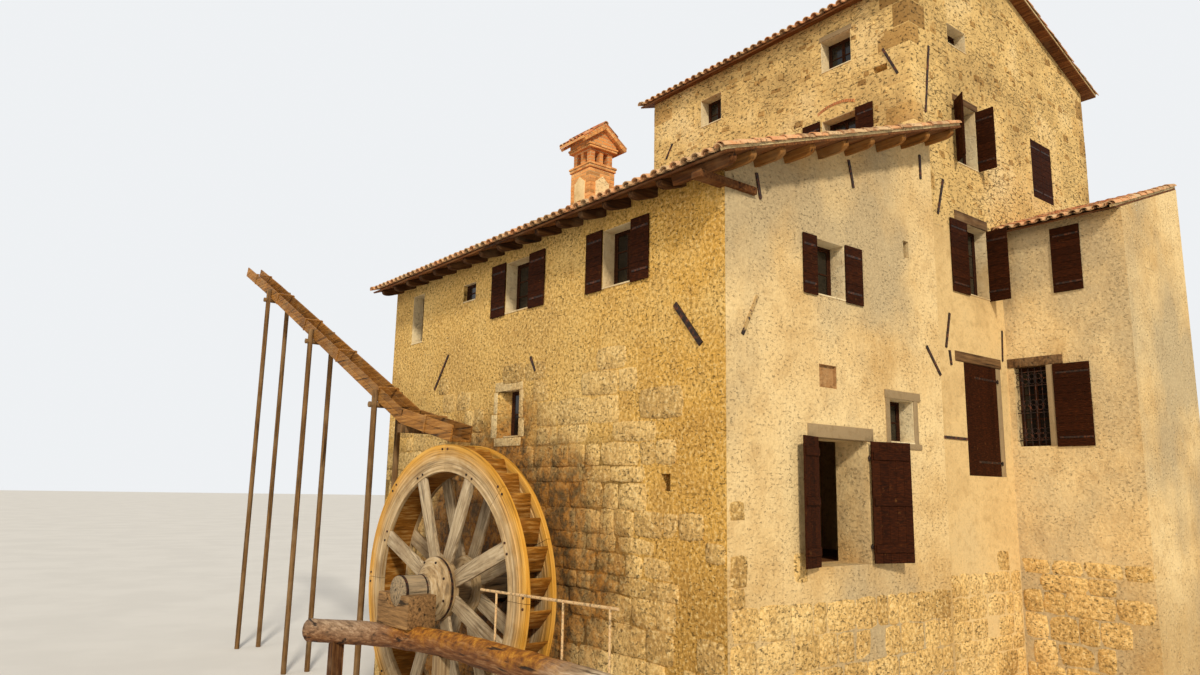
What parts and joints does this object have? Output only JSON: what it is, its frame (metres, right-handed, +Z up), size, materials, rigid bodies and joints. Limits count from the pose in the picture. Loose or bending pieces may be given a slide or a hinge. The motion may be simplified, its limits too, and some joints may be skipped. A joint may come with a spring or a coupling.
{
  "type": "watermill",
  "caption": "Traditional stone watermill with an overshot timber water wheel, wooden flume, tiled roofs, shuttered windows and a tall house behind.",
  "frame": {"origin": "foot of the mill house's near corner, where the wheel wall and the yard wall meet, at the bottom of the wheel pit", "axes": "+X along the yard wall away from the corner, +Y along the wheel wall away from the corner, +Z up"},
  "size_m": [16.2379, 21.09, 15.728],
  "materials": {
    "plaster": "rough lime plaster over rubble stone",
    "rubble": "rubble masonry with rough lime mortar",
    "grey_stone": "dressed grey stone",
    "brick": "orange brick",
    "roof_tile": "weathered terracotta",
    "timber": "aged brown timber",
    "flume_wood": "wet weathered boards",
    "log_wood": "debarked log",
    "wheel_wood": "wet weathered planks",
    "shutter_wood": "dark red-brown paint",
    "iron": "rusty wrought iron"
  },
  "bodies": {
    "building": {"wheel_wall": "plaster", "yard_wall_base": "plaster", "yard_wall_left": "plaster", "yard_wall_over": "plaster", "yard_wall_right": "plaster", "mill_end_wall": "plaster", "mill_back_wall": "plaster", "mill_floors": "timber", "mill_rafters": "timber", "verge_lookouts": "timber", "corner_beams": "timber", "mill_roof_boards": "timber", "mill_roof_tiles": "roof_tile", "chimney_stack": "brick", "chimney_panels": "plaster", "chimney_lantern": "brick", "chimney_roof": "roof_tile", "house_left_wall": "rubble", "house_yard_base": "rubble", "house_yard_left": "rubble", "house_yard_over": "rubble", "house_yard_right": "rubble", "house_back_wall": "rubble", "house_right_wall": "rubble", "house_floors": "timber", "house_roof_boards": "timber", "house_roof_tiles": "roof_tile", "house_ridge": "roof_tile", "wing_front_wall": "plaster", "wing_party_walls": "plaster", "wing_floors": "timber", "wing_roof": "roof_tile", "shutters": "shutter_wood", "timber_lintels": "timber", "stone_trim": "grey_stone", "brick_arch": "brick", "window_grille": "iron", "wall_anchors": "iron", "door_pintles": "iron", "log_beam": "log_wood", "beam_posts": "timber", "shaft_bearings": "timber", "flume": "flume_wood", "flume_supports": "timber", "handrail": "iron"},
    "wheel": {"wheel_rings": "wheel_wood", "wheel_hubs": "wheel_wood", "wheel_spokes": "wheel_wood", "wheel_buckets": "wheel_wood", "wheel_sole": "wheel_wood", "wheel_shaft": "timber"},
    "yard_leaf_left": {"yard_door_left": "shutter_wood"},
    "yard_leaf_right": {"yard_door_right": "shutter_wood"},
    "house_leaf": {"house_door": "shutter_wood"}
  },
  "joints": [
    {"name": "wheel_spin", "type": "hinge", "parent": "building", "child": "wheel", "pos_m": [-1.28, 5.427, 2.619], "axis": [-0.9969, -0.0785, 0], "continuous": true},
    {"name": "yard_left_hinge", "type": "hinge", "parent": "building", "child": "yard_leaf_left", "pos_m": [1.85, -0.025, 4.2], "axis": [0, 0, 1], "range_deg": [-10, 165]},
    {"name": "yard_right_hinge", "type": "hinge", "parent": "building", "child": "yard_leaf_right", "pos_m": [3.16, -0.025, 4.2], "axis": [0, 0, 1], "range_deg": [-165, 10]},
    {"name": "house_door_hinge", "type": "hinge", "parent": "building", "child": "house_leaf", "pos_m": [7.92, 0.265, 5.75], "axis": [0, 0, 1], "range_deg": [0, 95]}
  ]
}
